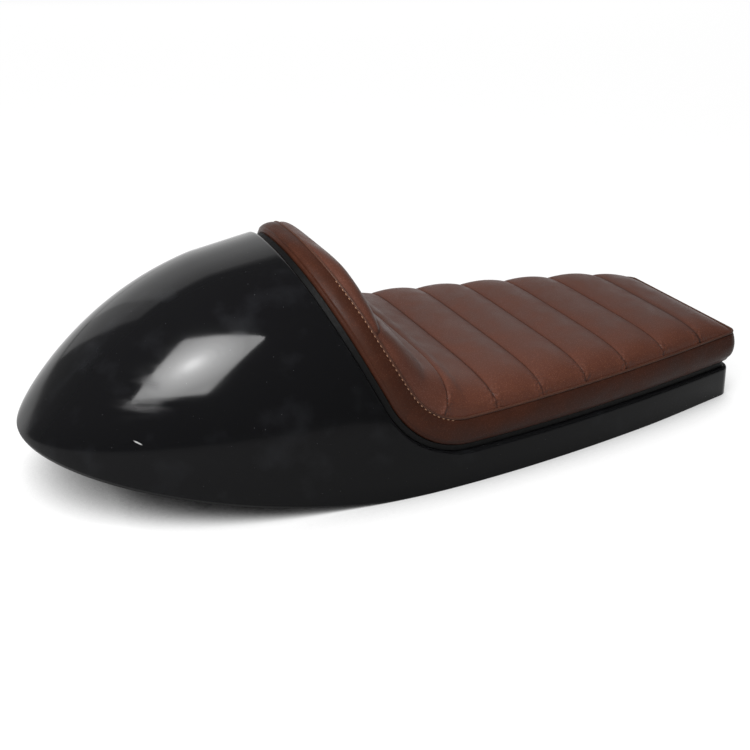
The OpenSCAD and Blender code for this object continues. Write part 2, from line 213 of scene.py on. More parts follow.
def tucked(points):
    """Skin points after the sides are tucked in below the deck near the front."""
    ahead = ease((points[:, 0] - SHELL_LENGTH + TUCK_LENGTH) / TUCK_LENGTH)
    share = ahead * np.maximum(0, 1 - points[:, 2] / DECK_HEIGHT)
    x = points[:, 0] + FRONT_LEAN * share
    y = points[:, 1] * (1 - 2 * FRONT_TUCK / FRONT_WIDTH * share)
    return np.stack([x, y, points[:, 2]], -1)


def closed(left, front=0):
    """Loop from left-side points: centre point, left side, front points across, right side."""
    last = left[-1]
    across = [last * [1, 1 - 2 * (i + 1) / (front + 1), 1] for i in range(front)]
    right = left[:0:-1] * [1, -1, 1]
    return np.concatenate([left, np.array(across).reshape(-1, 3), right])


def unit(v):
    return v / np.linalg.norm(v, axis=-1, keepdims=True)


def inward(loop):
    along = np.roll(loop, -1, 0) - np.roll(loop, 1, 0)
    return unit(np.cross(along, deck_normal(loop[:, 0])))


def moved(loop, inset, rise):
    """A rim loop moved inward along the deck and raised from it."""
    inset = np.broadcast_to(inset, len(loop))[:, None]
    rise = np.broadcast_to(rise, len(loop))[:, None]
    return loop + inward(loop) * inset + deck_normal(loop[:, 0]) * rise


# Mesh helpers

def centred(points):
    return (np.asarray(points) - [OVERALL_LENGTH / 2, 0, 0]) * MM


def build(name, points, faces):
    mesh = bpy.data.meshes.new(name)
    mesh.from_pydata([tuple(p) for p in points], [], [tuple(f) for f in faces])
    mesh.validate()
    for polygon in mesh.polygons:
        polygon.use_smooth = True
    piece = bpy.data.objects.new(name, mesh)
    bpy.context.scene.collection.objects.link(piece)
    return piece


def smoothed(piece):
    """Adds one level of subdivision."""
    fine = piece.modifiers.new("fine", "SUBSURF")
    fine.levels = fine.render_levels = 1
    return piece


def wall(a, b, n):
    """Quads between two loops of n points that start at a and b."""
    return [(a + i, b + i, b + (i + 1) % n, a + (i + 1) % n) for i in range(n)]


def lid(a, n):
    """Strips across a symmetric loop of n points."""
    rows = (n - 1) // 2
    strips = [(a + i, a + n - i, a + n - i - 1, a + i + 1) for i in range(1, rows)]
    return [(a, a + n - 1, a + 1)] + strips


# The shell as one fine mesh: outer skin, round lip, deck, and the inner skin behind them

REAR_STEPS, SIDE_STEPS, CORNER_STEPS, SKIN_STEPS, LIP_STEPS = 84, 40, 12, 54, 6
LIP_CLEARANCE = 1.2


def side_stations(start, off):
    corner = CORNER_RADIUS - off
    corner_start = SHELL_LENGTH - off - corner
    rear = mix(start, BEND_AT, 1 - np.cos(np.linspace(0, math.pi / 2, REAR_STEPS + 1)))
    side = np.linspace(BEND_AT, corner_start, SIDE_STEPS + 1)[1:]
    front = corner_start + corner * np.sin(np.linspace(0, math.pi / 2, CORNER_STEPS + 1))[1:]
    return np.concatenate([rear, side, front])


def skin_loops(start, off, levels):
    rims, feet = side_stations(start, off), side_stations(off, off)
    loops = []
    for level in levels:
        t = level ** 2
        d = mix(feet, rims, t)
        y = mix(plan_half(feet, off), rim_half(rims, off), t)
        z = base_z(d) if level == 0 else skin_z(d, y, off)
        loops.append(closed(tucked(np.stack([d, y, z], -1))))
    return loops


def rim_loop(start, off):
    d = side_stations(start, off)
    return closed(np.stack([d, rim_half(d, off), deck_z(d, off)], -1))


def shell_piece():
    top, inner_top = meeting(0.0), meeting(SHELL_WALL)
    outside = skin_loops(top, 0.0, np.arange(SKIN_STEPS + 1) / (SKIN_STEPS + 1))
    rim = rim_loop(top, 0.0)
    low = rim + unit(outside[-1] - rim) * LIP_RADIUS
    high = moved(rim, LIP_RADIUS, 0.0)
    gaps = [np.min(np.linalg.norm(loop - rim, axis=1)) for loop in outside]
    clear = [loop for loop, gap in zip(outside, gaps) if gap > LIP_RADIUS * LIP_CLEARANCE]
    lip = []
    for i in range(LIP_STEPS + 1):
        t = i / LIP_STEPS
        lip.append((1 - t) ** 2 * low + 2 * t * (1 - t) * rim + t * t * high)
    inside = skin_loops(inner_top, SHELL_WALL, np.arange(SKIN_STEPS) / SKIN_STEPS)
    inside.append(rim_loop(inner_top, SHELL_WALL))
    loops = inside[::-1] + clear + lip
    n = len(rim)
    faces = [face[::-1] for face in lid(0, n)]
    for i in range(len(loops) - 1):
        faces += wall(i * n, (i + 1) * n, n)
    faces += lid((len(loops) - 1) * n, n)
    return build("shell_skin", centred(np.concatenate(loops)), faces)


# The pad's surface, in distance s along the deck and share v of the half width

PATH_TOP = -DECK_ARC - (SLOPE_START - meeting(0.0)) / math.cos(BULKHEAD)
PATH_FRONT = SHELL_LENGTH - BEND_AT
CORNER_PATH = PATH_FRONT - CORNER_RADIUS
SEAMS = [-BACK_SEAM, -BEND_SEAM] + [FIRST_SEAM + i * CHANNEL_PITCH for i in range(CHANNEL_COUNT + 1)]
ROWS_TOP, ROWS_BEND, ROWS_CHANNEL, ROWS_FRONT, ROWS_CORNER, ACROSS = 24, 34, 18, 12, 7, 84
ROW_CROWDING = 0.8
COLUMN_CROWDING = 0.4


def path_d(s):
    arc = BEND_AT - BEND_RADIUS * np.sin(np.clip(-s / BEND_RADIUS, 0.0, BULKHEAD))
    slope = SLOPE_START - (-s - DECK_ARC) * math.cos(BULKHEAD)
    return np.where(s >= 0, BEND_AT + s, np.where(-s < DECK_ARC, arc, slope))


def between(a, b, rows):
    """Stations from seam to seam, closer together beside the seams."""
    even = np.linspace(0, 1, rows + 1)
    return mix(a, b, mix(even, (1 - np.cos(even * math.pi)) / 2, ROW_CROWDING))


def pad_stations():
    parts = [mix(PATH_TOP, SEAMS[0], 1 - np.cos(np.linspace(0, math.pi / 2, ROWS_TOP + 1)))[:-1]]
    parts.append(between(SEAMS[0], SEAMS[1], ROWS_BEND)[:-1])
    for a, b in zip(SEAMS[1:], SEAMS[2:]):
        parts.append(between(a, b, ROWS_CHANNEL)[:-1])
    parts.append(np.linspace(SEAMS[-1], CORNER_PATH, ROWS_FRONT + 1)[:-1])
    parts.append(CORNER_PATH + CORNER_RADIUS * np.sin(np.linspace(0, math.pi / 2, ROWS_CORNER + 1)))
    return np.concatenate(parts)


STATIONS = pad_stations()
LAST = len(STATIONS) - 1


def along_loop(values):
    """A value per left station, spread over the pad's closed loop."""
    front = np.full(ACROSS - 1, values[-1])
    return np.concatenate([values, front, values[:0:-1]])


def pad_rim():
    d = path_d(STATIONS)
    return closed(np.stack([d, rim_half(d), deck_z(d)], -1), ACROSS - 1)


def seam_rise(s):
    flat = mix(SEAM_HEIGHT, FRONT_SEAM_HEIGHT, s / PATH_FRONT)
    back = mix(SEAM_HEIGHT, BACK_SEAM_HEIGHT, ease(-s / BACK_SEAM))
    top = np.clip((-s - BACK_SEAM) / (-PATH_TOP - BACK_SEAM), 0.0, 1.0) ** 2
    return np.where(s > 0, flat, mix(back, TOP_SEAM_HEIGHT, top))


def front_share(s):
    return ease((s - CORNER_PATH) / DRAWN_LENGTH + 1)


def seam_inset(s):
    return mix(SIDE_INSET, TOP_SETBACK, np.clip(s / PATH_TOP, 0.0, 1.0) ** SETBACK_N)


RIM = pad_rim()
INSET = along_loop(seam_inset(STATIONS))
RISE = along_loop(seam_rise(STATIONS))
FRONT = along_loop(front_share(STATIONS))
SWELL = mix(BAND_SWELL + BAND_EXTRA, FRONT_SWELL, FRONT)
SIDE_SLOPE = float(plan_half(CORNER_START - 1.0) - plan_half(CORNER_START))
SIDEWAYS = np.clip(RIM[:, 1] / RIM[LAST, 1], -1.0, 1.0)
DRAWN = FRONT[:, None] * np.stack([np.ones_like(FRONT), -SIDE_SLOPE * SIDEWAYS, 0 * FRONT], -1)


def edge_loop(t, inset=0.0, drop=0.0):
    """Loop round the pad at share t of the band's height."""
    advance = mix(FRONT_FOOT_REACH + FOOT_INSET, FRONT_OVERHANG + SIDE_INSET, t)
    inward_by = inset + mix(FOOT_INSET, INSET, t) - SWELL * math.sin(math.pi * t)
    return moved(RIM, inward_by, mix(HEM_LEVEL, RISE, t) - drop) + advance * DRAWN


def front_fall(s):
    return 1 - (1 - np.clip((PATH_FRONT - s) / FRONT_ROLL, 0, 1)) ** FRONT_ROLL_N


def smooth_rise(s, v):
    flat = mix(CROWN_RISE, FRONT_CROWN_RISE, s / PATH_FRONT)
    middle = np.where(s > 0, flat, mix(CROWN_RISE, BACK_CROWN_RISE, ease(-s / BACK_SEAM)))
    filling = BEND_FILL * (1 - ease(abs(s + BEND_SEAM) / BEND_FILL_LENGTH))
    edges = np.maximum(0.0, 1 - np.abs(v) ** CROWN_EDGE_P) ** CROWN_EDGE_Q
    top = 1 - (1 - np.clip((s - PATH_TOP) / TOP_ROLL, 0, 1)) ** 2
    return (middle + filling) * edges * top * front_fall(s)


def puff_rise(s, v):
    """Swell between the seams, less the crease along each one and the deeper one at the bend."""
    marks = np.array([PATH_TOP] + SEAMS + [PATH_FRONT])
    k = np.clip(np.searchsorted(marks, s, side="right") - 1, 0, len(marks) - 2)
    t = np.clip((s - marks[k]) / (marks[k + 1] - marks[k]), 0.0, 1.0)
    sewn = np.exp(-(np.min(np.abs(marks[1:-1] - s)) / CREASE_WIDTH) ** 2)
    sewn += BEND_CREASE * math.exp(-((s + BEND_SEAM) / BEND_CREASE_WIDTH) ** 2)
    height = np.choose(np.clip(k, 0, 2), [BACK_PUFF_HEIGHT, BEND_PUFF_HEIGHT, PUFF_HEIGHT])
    puff = height * np.sin(math.pi * t) ** PUFF_N - CREASE_DEPTH * sewn
    return puff * (1 - np.abs(v) ** PUFF_EDGE_N) * front_fall(s)


def at_row(i, j):
    return 0 if i == 0 else 1 + (i - 1) * (ACROSS + 1) + j


def column_shares():
    even = np.linspace(-1, 1, ACROSS + 1)
    return mix(even, np.sin(even * math.pi / 2), COLUMN_CROWDING)


def top_panel(inset, puffed):
    """Points and faces of the panel between its side seams, with the given share of its swell."""
    edge = edge_loop(1.0, inset)
    shares = column_shares()
    points = [edge[0]]
    for i in range(1, LAST + 1):
        left = edge[i]
        normal = deck_normal(np.array([RIM[i][0]]))[0]
        for v in shares:
            rise = smooth_rise(STATIONS[i], v) + puffed * puff_rise(STATIONS[i], v)
            points.append(np.array([left[0], -left[1] * v, left[2]]) + normal * rise)
    faces = [(0, at_row(1, j + 1), at_row(1, j)) for j in range(ACROSS)]
    for i in range(1, LAST):
        for j in range(ACROSS):
            faces.append((at_row(i, j), at_row(i, j + 1), at_row(i + 1, j + 1), at_row(i + 1, j)))
    return np.array(points), faces


def seam_rows():
    return [int(np.argmin(np.abs(STATIONS - s))) for s in SEAMS]


SIM_FRAMES = 24
START_SWELL = 0.95
MOST_SHIFT = 6.0
SEAM_TUCK = 1.4
SEAM_SHARPNESS = 0.85
PUCKER_LENGTH = 6.5


def swell_cloth(piece, held):
    """Blows the panel up between its sewn lines and returns the points of the result."""
    group = piece.vertex_groups.new(name="sewn")
    group.add([int(i) for i in held], 1.0, "REPLACE")
    cloth = piece.modifiers.new("swell", "CLOTH")
    settings = cloth.settings
    settings.vertex_group_mass = "sewn"
    settings.quality = 6
    settings.mass = 0.25
    settings.tension_stiffness = 30
    settings.compression_stiffness = 30
    settings.shear_stiffness = 12
    settings.bending_stiffness = 6
    settings.air_damping = 5
    settings.use_pressure = True
    settings.uniform_pressure_force = 1.5
    settings.effector_weights.gravity = 0
    cloth.collision_settings.use_collision = False
    cloth.point_cache.frame_start = 1
    cloth.point_cache.frame_end = SIM_FRAMES
    scene = bpy.context.scene
    for step in range(1, SIM_FRAMES + 1):
        scene.frame_set(step)
    shape = piece.evaluated_get(bpy.context.evaluated_depsgraph_get()).data
    points = np.empty(len(shape.vertices) * 3)
    shape.vertices.foreach_get("co", points)
    piece.modifiers.remove(cloth)
    piece.vertex_groups.clear()
    scene.frame_set(1)
    return points.reshape(-1, 3)


def swell(piece, before, held):
    """Moves the panel's points to where the cloth took them, no further than MOST_SHIFT."""
    shift = swell_cloth(piece, held) - before
    far = np.linalg.norm(shift, axis=1, keepdims=True)
    after = before + shift * np.minimum(1.0, MOST_SHIFT * MM / np.maximum(far, 1e-9))
    piece.data.vertices.foreach_set("co", after.reshape(-1))


def seam_distance(s, seams):
    return min(abs(s - seam) for seam in seams)


def mark_wear_and_painted_light(piece):
    """Marks stretched leather near the sides, puckers at the seams' ends, which also place painted grain
    glints, and the seams' creases, which carry painted shade.
    """
    stretch = piece.data.attributes.new("stretch", "FLOAT", "POINT")
    pucker_and_glint = piece.data.attributes.new("pucker_and_glint", "FLOAT", "POINT")
    crease = piece.data.attributes.new("crease", "FLOAT", "POINT")
    for i in range(1, LAST + 1):
        s = STATIONS[i]
        level = float(ease((s + 60) / 40))
        ending = math.exp(-(seam_distance(s, SEAMS[1:]) / PUCKER_LENGTH) ** 2)
        sewn = math.exp(-(seam_distance(s, SEAMS) / CREASE_WIDTH) ** 2)
        for j, v in enumerate(column_shares()):
            point = at_row(i, j)
            stretch.data[point].value = float(ease((abs(v) - 0.5) / 0.45)) * level
            # Puckers at the seams' ends, which also place the painted grain glints.
            pucker_and_glint.data[point].value = ending * float(ease((abs(v) - 0.8) / 0.15))
            # The crease mask places the painted shade along the seams.
            crease.data[point].value = sewn


def sharpen_seams(piece, rows):
    """Keeps the sewn lines narrow under the subdivision."""
    crease = piece.data.attributes.new("crease_edge", "FLOAT", "EDGE")
    row_of = {at_row(i, j): i for i in rows for j in range(ACROSS + 1)}
    for edge in piece.data.edges:
        a, b = edge.vertices
        if a in row_of and row_of.get(b) == row_of[a]:
            crease.data[edge.index].value = SEAM_SHARPNESS


def pad_top():
    points, faces = top_panel(SEAM_TUCK, START_SWELL)
    piece = build("pad_top", centred(points), faces)
    rows = seam_rows()
    held = [at_row(i, j) for i in rows for j in range(ACROSS + 1)]
    held += [0] + [at_row(i, j) for i in range(1, LAST + 1) for j in (0, ACROSS)]
    held += [at_row(LAST, j) for j in range(ACROSS + 1)]
    swell(piece, centred(points), held)
    mark_wear_and_painted_light(piece)
    sharpen_seams(piece, rows)
    return smoothed(piece)


HEM_WIDTH = 10.0
HEM_RAISE = 0.1
FOOT_ROLL = 3.0
BAND_LINES = 10
BAND_FROM, BAND_TO = 0.13, 0.93
SEAM_TURN = [(0.965, 0.25, 0.0), (0.985, 0.7, 0.0), (1.0, SEAM_TUCK, 0.0)]
RIPPLE_LENGTH = 38.0
RIPPLE_HEIGHT = 0.55
SMALL_RIPPLE_HEIGHT = 0.22


def band_profile():
    """Height share, inset and rise of each line round the band, from under the pad to the seam."""
    lines = [(0.0, HEM_WIDTH, HEM_RAISE), (0.0, FOOT_ROLL + 1, HEM_RAISE)]
    for i in range(5):
        a = math.radians(22.5 * i)
        lines.append((0.0, FOOT_ROLL * (1 - math.sin(a)), FOOT_ROLL * (1 - math.cos(a)) + HEM_RAISE))
    for i in range(1, BAND_LINES + 1):
        lines.append((mix(BAND_FROM, BAND_TO, i / BAND_LINES), 0.0, 0.0))
    return lines + SEAM_TURN


def side_band():
    """The side panel of the cover, a little uneven along its length."""
    lines = band_profile()
    loops = [edge_loop(t, inset, -rise) for t, inset, rise in lines]
    outward = -inward(RIM)
    n = len(RIM)
    steps = np.linalg.norm(np.diff(RIM, axis=0), axis=1)
    length = np.concatenate([[0], np.cumsum(steps)])
    for k, (t, _, _) in enumerate(lines):
        if 0.1 < t < 0.97:
            for i in range(n):
                place = Vector((length[i] / RIPPLE_LENGTH, t * 1.3, 0.0))
                wave = noise.noise(place) * RIPPLE_HEIGHT
                ripple = wave + noise.noise(place * 2.7) * SMALL_RIPPLE_HEIGHT
                loops[k][i] += outward[i] * ripple * math.sin(math.pi * t)
    faces = []
    for k in range(len(loops) - 1):
        faces += wall(k * n, (k + 1) * n, n)
    return smoothed(build("pad_band", centred(np.concatenate(loops)), faces))


# The folded seam, and the top stitch on the band just below it

STITCH_PITCH = 4.2
STITCH_LENGTH = 2.1
STITCH_LEVEL = 0.962
STITCH_INSET = 0.05
STITCH_BOW = 0.42
STITCH_SINK = 0.2
STITCH_SIDES, STITCH_RINGS = 6, 5
STITCHED = (-172.0, -22.0)
THREAD_RADIUS = 0.4
FOLD_RADIUS = 1.15
FOLD_INSET = 0.55
FOLD_RAISE = 0.35
FOLD_SIDES = 8


def at_length(marks, length, ring):
    return np.stack([np.interp(marks % length[-1], length, ring[:, k]) for k in range(3)], -1)


def one_stitch(mark, length, ring, out_ring):
    """Points of one bowed, tapered stitch that is centred at a distance along the ring."""
    points = []
    for r in range(STITCH_RINGS):
        t = r / (STITCH_RINGS - 1)
        here = np.array([(mark + (t - 0.5) * STITCH_LENGTH) % length[-1]])
        outward = unit(at_length(here, length, out_ring)[0])
        ahead = unit(at_length(here + 0.3, length, ring)[0] - at_length(here - 0.3, length, ring)[0])
        side = unit(np.cross(ahead, outward))
        bow = math.sin(math.pi * t)
        radius = THREAD_RADIUS * (0.45 + 0.55 * bow ** 0.5)
        centre = at_length(here, length, ring)[0] + outward * (STITCH_BOW * bow - STITCH_SINK)
        for q in range(STITCH_SIDES):
            a = 2 * math.pi * q / STITCH_SIDES
            points.append(centre + (outward * math.cos(a) + side * math.sin(a)) * radius)
    return points


def stitch_faces(first):
    sides, last = STITCH_SIDES, first + (STITCH_RINGS - 1) * STITCH_SIDES
    faces = []
    for r in range(STITCH_RINGS - 1):
        for q in range(sides):
            a = first + r * sides + q
            b = first + r * sides + (q + 1) % sides
            faces.append((a, b, b + sides, a + sides))
    faces.append(tuple(range(first + sides - 1, first - 1, -1)))
    faces.append(tuple(range(last, last + sides)))
    return faces


def seam_stitches():
    """Short top stitches beside the seam, where the pad climbs the hump."""
    ring, out_ring, stations = [np.concatenate([loop, loop[:1]]) for loop in (
        edge_loop(STITCH_LEVEL, STITCH_INSET), -inward(RIM), along_loop(STATIONS))]
    length = np.concatenate([[0], np.cumsum(np.linalg.norm(np.diff(ring, axis=0), axis=1))])
    count = int(length[-1] / STITCH_PITCH)
    pitch = length[-1] / count
    points, faces = [], []
    for k in range(count):
        if STITCHED[0] < np.interp(k * pitch, length, stations) < STITCHED[1]:
            faces += stitch_faces(len(points))
            points += one_stitch(k * pitch, length, ring, out_ring)
    return build("band_stitches", centred(points), faces)


def seam_fold():
    """The leather's folded edge that stands up along the side seam."""
    centre = edge_loop(1.0, FOLD_INSET, -FOLD_RAISE)
    out = -inward(RIM)
    up = deck_normal(RIM[:, 0])
    n = len(RIM)
    loops, faces = [], []
    for k in range(FOLD_SIDES):
        a = 2 * math.pi * k / FOLD_SIDES
        loops.append(centre + (out * math.cos(a) + up * math.sin(a)) * FOLD_RADIUS)
        faces += wall(k * n, (k + 1) % FOLD_SIDES * n, n)
    return smoothed(build("pad_fold", centred(np.concatenate(loops)), faces))


# Materials

def new_material(name, base, roughness):
    material = bpy.data.materials.new(name)
    material.use_nodes = True
    shader = material.node_tree.nodes["Principled BSDF"]
    shader.inputs["Base Color"].default_value = (*base, 1)
    shader.inputs["Roughness"].default_value = roughness
    return material, material.node_tree, shader


def noise_node(tree, coordinates, scale, detail=3.0, kind="ShaderNodeTexNoise"):
    node = tree.nodes.new(kind)
    node.inputs["Scale"].default_value = scale
    if "Detail" in node.inputs:
        node.inputs["Detail"].default_value = detail
    tree.links.new(coordinates, node.inputs["Vector"])
    return node


def ramp(tree, value, low, high, a, b):
    node = tree.nodes.new("ShaderNodeMapRange")
    node.inputs["From Min"].default_value = low
    node.inputs["From Max"].default_value = high
    node.inputs["To Min"].default_value = a
    node.inputs["To Max"].default_value = b
    tree.links.new(value, node.inputs["Value"])
    return node.outputs["Result"]


def blend_colour(tree, factor, a, b):
    node = tree.nodes.new("ShaderNodeMix")
    node.data_type = "RGBA"
    tree.links.new(factor, node.inputs[0])
    for socket, value in ((node.inputs[6], a), (node.inputs[7], b)):
        if isinstance(value, tuple):
            socket.default_value = (*value, 1)
        else:
            tree.links.new(value, socket)
    return node.outputs[2]


def object_place(tree):
    return tree.nodes.new("ShaderNodeTexCoord").outputs["Object"]


def attribute(tree, name):
    node = tree.nodes.new("ShaderNodeAttribute")
    node.attribute_name = name
    return node.outputs["Fac"]


def math_node(tree, operation, a, b):
    node = tree.nodes.new("ShaderNodeMath")
    node.operation = operation
    for socket, value in zip(node.inputs, (a, b)):
        if isinstance(value, float):
            socket.default_value = value
        else:
            tree.links.new(value, socket)
    return node.outputs[0]


def bump(tree, height, distance, strength=1.0, before=None):
    node = tree.nodes.new("ShaderNodeBump")
    node.inputs["Distance"].default_value = distance
    node.inputs["Strength"].default_value = strength
    tree.links.new(height, node.inputs["Height"])
    if before is not None:
        tree.links.new(before, node.inputs["Normal"])
    return node.outputs["Normal"]


TOP_LEATHER = {"dark": (0.190, 0.066, 0.041), "warm": (0.290, 0.092, 0.050),
               "grey": (0.152, 0.069, 0.051), "specular": 0.24, "sheen": 0.035}
# The band is the same leather as the top; its darker colours are painted shade on the upright sides.
SHADED_BAND_LEATHER = {"dark": (0.098, 0.032, 0.018), "warm": (0.185, 0.054, 0.025),
                "grey": (0.050, 0.023, 0.015), "specular": 0.12, "sheen": 0.0}
FOLD_LEATHER = {"dark": (0.15, 0.062, 0.040), "warm": (0.24, 0.105, 0.065),
                "grey": (0.12, 0.06, 0.043), "specular": 0.2, "sheen": 0.0}
# Orange of pulled grain where the leather is stretched, also used for the painted grain glints at the
# seams' ends.
PULLED_GRAIN_AND_GLINT = (0.34, 0.115, 0.055)
GRAIN_DEPTH = 0.0004
PORE_DEPTH = 0.00008
PUCKER_DEPTH = 0.0022
UNEVENNESS = 0.0014


def darker(colour, share):
    return tuple(c * share for c in colour)


def leather(name, dark, warm, grey, specular, sheen):
    """Grained leather; redder, with pulled grain, where the mesh says that it is stretched; with painted
    grain glints at the seams' ends and painted shade along the seams' creases.
    """
    material, tree, shader = new_material(name, dark, 0.45)
    place = object_place(tree)
    broad = noise_node(tree, place, 16, 4)
    patch = noise_node(tree, place, 60, 3)
    mottle = noise_node(tree, place, 520, 2)
    grain = noise_node(tree, place, 950, kind="ShaderNodeTexVoronoi")
    grain.inputs["Randomness"].default_value = 1.0
    pores = noise_node(tree, place, 2300, 2)
    stretch = attribute(tree, "stretch")
    pucker_and_glint = attribute(tree, "pucker_and_glint")
    tone = blend_colour(tree, ramp(tree, broad.outputs["Fac"], 0.40, 0.60, 0, 1), grey, dark)
    tone = blend_colour(tree, ramp(tree, patch.outputs["Fac"], 0.42, 0.72, 0, 0.7), tone, warm)
    tone = blend_colour(tree, ramp(tree, stretch, 0, 1, 0, 0.6), tone, warm)
    cell = ramp(tree, grain.outputs["Distance"], 0.15, 0.8, 0, 1)
    # Lighter orange specks: pulled grain where stretched, and painted grain glints at the seams' ends.
    worn = ramp(tree, math_node(tree, "MAXIMUM", stretch, pucker_and_glint), 0, 1, 0.16, 1.0)
    pulled_and_glint = math_node(tree, "MULTIPLY", ramp(tree, mottle.outputs["Fac"], 0.52, 0.66, 0, 1), worn)
    speck = blend_colour(tree, pulled_and_glint, tone, PULLED_GRAIN_AND_GLINT)
    shade = blend_colour(tree, ramp(tree, cell, 0.42, 0.95, 0, 0.85), speck, darker(dark, 0.45))
    # Painted shade: the base colour darkens nearly to black along the seams' creases.
    crease = ramp(tree, attribute(tree, "crease"), 0.2, 1.0, 0, 0.85)
    shade = blend_colour(tree, crease, shade, darker(dark, 0.12))
    tree.links.new(shade, shader.inputs["Base Color"])
    rough = ramp(tree, patch.outputs["Fac"], 0.3, 0.7, 0.36, 0.5)
    tree.links.new(rough, shader.inputs["Roughness"])
    height = ramp(tree, grain.outputs["Distance"], 0.0, 0.8, 1.0, 0.0)
    normal = bump(tree, height, GRAIN_DEPTH, 0.8)
    normal = bump(tree, pores.outputs["Fac"], PORE_DEPTH, 0.4, normal)
    folds = math_node(tree, "MULTIPLY", noise_node(tree, place, 330, 1).outputs["Fac"], pucker_and_glint)
    normal = bump(tree, folds, PUCKER_DEPTH, 1.0, normal)
    normal = bump(tree, broad.outputs["Fac"], UNEVENNESS, 0.25, normal)
    tree.links.new(normal, shader.inputs["Normal"])
    shader.inputs["Specular IOR Level"].default_value = specular
    shader.inputs["Sheen Weight"].default_value = sheen
    shader.inputs["Sheen Roughness"].default_value = 0.4
    shader.inputs["Sheen Tint"].default_value = (0.9, 0.8, 0.78, 1)
    return material


SHELL_BLACK = (0.0066, 0.0067, 0.0074)
SHELL_FILM = (0.022, 0.023, 0.026)
SHELL_DUST = (0.10, 0.10, 0.105)
SHELL_SPECULAR = 0.085
SCRATCH_COLOUR = (0.55, 0.55, 0.55)
SCRATCH_PLACE = (-0.233, -0.097, 0.0656)
SCRATCH_TURN = (0.0, math.radians(22), math.radians(-37.5))
SCRATCH_SIZE = (0.0036, 0.004, 0.0005)
WORN_PLACE = (-0.2263, -0.0836, 0.0957)
WORN_SIZE = (0.03, 0.03, 0.02)
STREAKS = (22, 22, 120)


def gloss_black():
    """Polished black moulding with a hazy film, dust, one worn patch and one small scratch."""
    material, tree, shader = new_material("gloss_black", SHELL_BLACK, 0.12)
    shader.inputs["Specular IOR Level"].default_value = SHELL_SPECULAR
    place = object_place(tree)
    haze = noise_node(tree, place, 9, 5)
    smudge = noise_node(tree, place, 34, 6)
    dust = noise_node(tree, place, 700, 1)
    streak = noise_node(tree, stretched(tree, place, STREAKS), 1, 5)
    polish = ramp(tree, haze.outputs["Fac"], 0.4, 0.7, 0.07, 0.14)
    smudged = ramp(tree, smudge.outputs["Fac"], 0.56, 0.72, 0.0, 0.05)
    worn = spot(tree, place, WORN_PLACE, (0, 0, 0), WORN_SIZE, 0.2, 1.1)
    streaked = ramp(tree, streak.outputs["Fac"], 0.42, 0.60, 0.0, 0.30)
    rough = math_node(tree, "ADD", math_node(tree, "ADD", polish, smudged),
                      math_node(tree, "MULTIPLY", streaked, worn))
    tree.links.new(rough, shader.inputs["Roughness"])
    film = ramp(tree, smudge.outputs["Fac"], 0.54, 0.76, 0, 0.45)
    specks = ramp(tree, dust.outputs["Fac"], 0.79, 0.83, 0, 1)
    scratch = spot(tree, place, SCRATCH_PLACE, SCRATCH_TURN, SCRATCH_SIZE, 0.7, 1.1)
    base = blend_colour(tree, film, SHELL_BLACK, SHELL_FILM)
    base = blend_colour(tree, specks, base, SHELL_DUST)
    base = blend_colour(tree, scratch, base, SCRATCH_COLOUR)
    tree.links.new(base, shader.inputs["Base Color"])
    wave = noise_node(tree, place, 14, 2)
    tree.links.new(bump(tree, wave.outputs["Fac"], 0.0009, 0.12), shader.inputs["Normal"])
    return material


def stretched(tree, place, scale):
    node = tree.nodes.new("ShaderNodeMapping")
    node.inputs["Scale"].default_value = scale
    tree.links.new(place, node.inputs["Vector"])
    return node.outputs[0]


def spot(tree, place, centre, turn, size, inner, outer):
    """1 inside an ellipsoid, fading to 0 outside it."""
    node = tree.nodes.new("ShaderNodeMapping")
    node.vector_type = "TEXTURE"
    node.inputs["Location"].default_value = centre
    node.inputs["Rotation"].default_value = turn
    node.inputs["Scale"].default_value = size
    tree.links.new(place, node.inputs["Vector"])
    length = tree.nodes.new("ShaderNodeVectorMath")
    length.operation = "LENGTH"
    tree.links.new(node.outputs[0], length.inputs[0])
    return ramp(tree, length.outputs["Value"], inner, outer, 1, 0)


def pan_black():
    """Plain black plastic with a fine texture."""
    material, tree, shader = new_material("pan_black", (0.003, 0.003, 0.003), 0.6)
    shader.inputs["Specular IOR Level"].default_value = 0.15
    place = object_place(tree)
    texture = noise_node(tree, place, 700, 2)
    tree.links.new(bump(tree, texture.outputs["Fac"], 0.0002, 0.4), shader.inputs["Normal"])
    tree.links.new(ramp(tree, texture.outputs["Fac"], 0.3, 0.7, 0.5, 0.7), shader.inputs["Roughness"])
    return material


def zinc():
    """Zinc plated steel, a little stained."""
    material, tree, shader = new_material("zinc", (0.52, 0.52, 0.50), 0.35)
    shader.inputs["Metallic"].default_value = 1.0
    place = object_place(tree)
    stain = noise_node(tree, place, 300, 4)
    tree.links.new(ramp(tree, stain.outputs["Fac"], 0.3, 0.7, 0.28, 0.48), shader.inputs["Roughness"])
    tree.links.new(blend_colour(tree, stain.outputs["Fac"], (0.42, 0.42, 0.40), (0.62, 0.62, 0.60)),
                   shader.inputs["Base Color"])
    return material


def thread():
    """Tan thread with a lighter ply."""
    material, tree, shader = new_material("thread", (0.26, 0.14, 0.09), 0.6)
    shader.inputs["Specular IOR Level"].default_value = 0.1
    place = object_place(tree)
    ply = noise_node(tree, place, 2500, 1)
    tree.links.new(blend_colour(tree, ply.outputs["Fac"], (0.20, 0.09, 0.05), (0.50, 0.30, 0.19)),
                   shader.inputs["Base Color"])
    return material


def dress(piece, material):
    piece.data.materials.clear()
    piece.data.materials.append(material)


# Stage: pale floor, camera and soft studio light

FLOOR_HALF = 20.0
FLOOR_COLOUR = 0.14
FLOOR_GLOW = 0.95
SHADOW_REACH = 0.2
SHADOW_SAMPLES = 16
SHADOW_DARK, SHADOW_CLEAR = 0.22, 0.76


